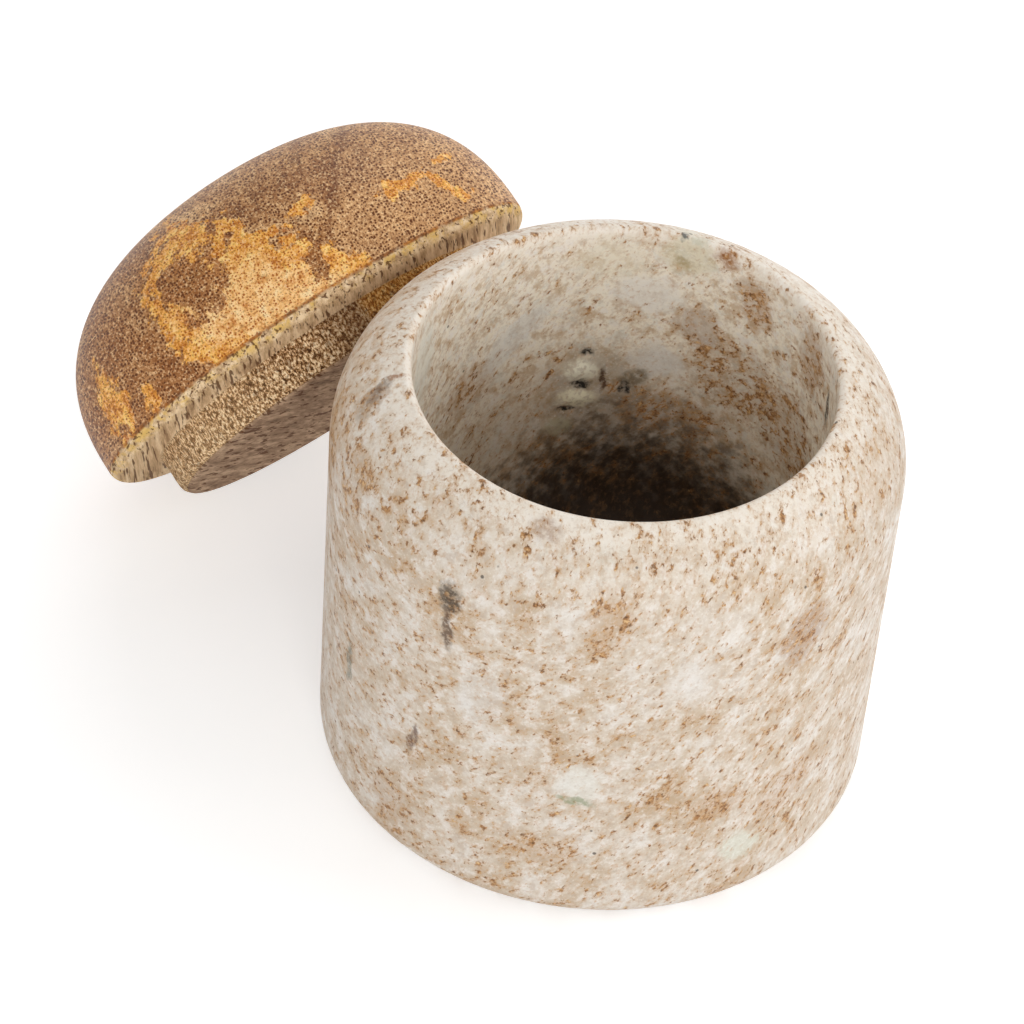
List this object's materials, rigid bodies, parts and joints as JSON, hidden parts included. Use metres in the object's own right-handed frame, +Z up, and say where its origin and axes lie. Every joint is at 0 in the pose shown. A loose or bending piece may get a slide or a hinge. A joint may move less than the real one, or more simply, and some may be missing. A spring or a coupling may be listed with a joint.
{
  "type": "salt cellar",
  "caption": "Round stone pot with a rounded shoulder and an open well for salt, with a domed wooden lid whose plug fits the mouth.",
  "frame": {"origin": "centre of the pot's flat base, on the table", "axes": "+Z up along the pot's axis, out of its mouth; +Y away from the viewer, and +X to the viewer's right"},
  "size_m": [0.126, 0.1235, 0.073],
  "materials": {
    "stone": "polished speckled marble",
    "wood": "satin oiled hardwood"
  },
  "bodies": {
    "pot": {"stone_pot": "stone"},
    "lid": {"wooden_lid": "wood"}
  },
  "joints": [
    {"name": "lid_lift", "type": "slide", "parent": "pot", "child": "lid", "axis": [0, 0, 1], "range_m": [0, 0.1]}
  ]
}
